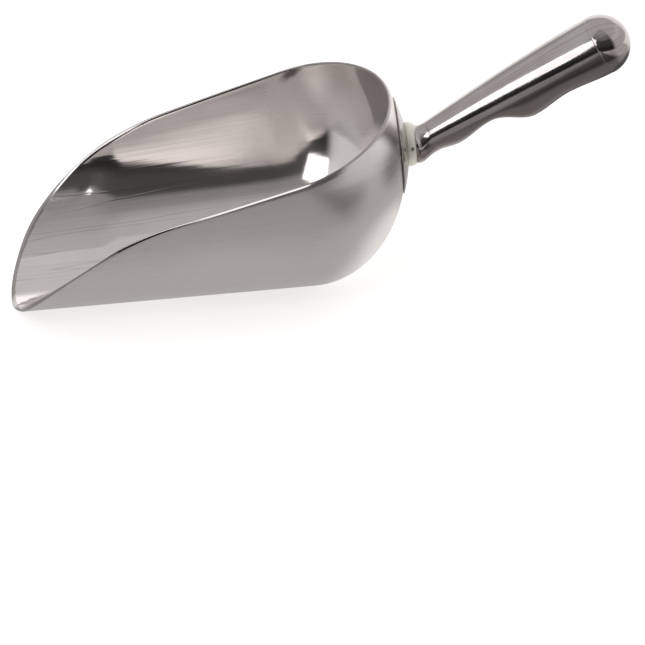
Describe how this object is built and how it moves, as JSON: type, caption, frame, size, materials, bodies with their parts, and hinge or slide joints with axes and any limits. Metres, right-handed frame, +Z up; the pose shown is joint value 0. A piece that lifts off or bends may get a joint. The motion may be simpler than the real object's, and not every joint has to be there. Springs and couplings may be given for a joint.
{
  "type": "ice scoop",
  "caption": "Hand scoop for ice: half-open tapered aluminium bowl with a domed back, on a raised hollow finger-grip handle.",
  "frame": {"origin": "on the bowl's resting line, under the middle of the scoop's overall box", "axes": "+X from the bowl's lip to the handle's end, +Z up out of the bowl, Y across; the bowl's lowest line lies on z = 0"},
  "size_m": [0.2879, 0.12, 0.1138],
  "materials": {
    "bowl_satin": "buffed satin sheet, fine streaks along the bowl",
    "cast_polish": "mirror-polished casting",
    "ring_polish": "turned and polished",
    "pin_steel": "plain stainless steel"
  },
  "bodies": {
    "root": {"bowl": "bowl_satin", "handle_foot": "cast_polish", "neck_ring": "ring_polish", "neck_stud": "pin_steel", "neck_pin": "pin_steel", "grip": "cast_polish", "end_cap": "cast_polish"}
  },
  "joints": []
}
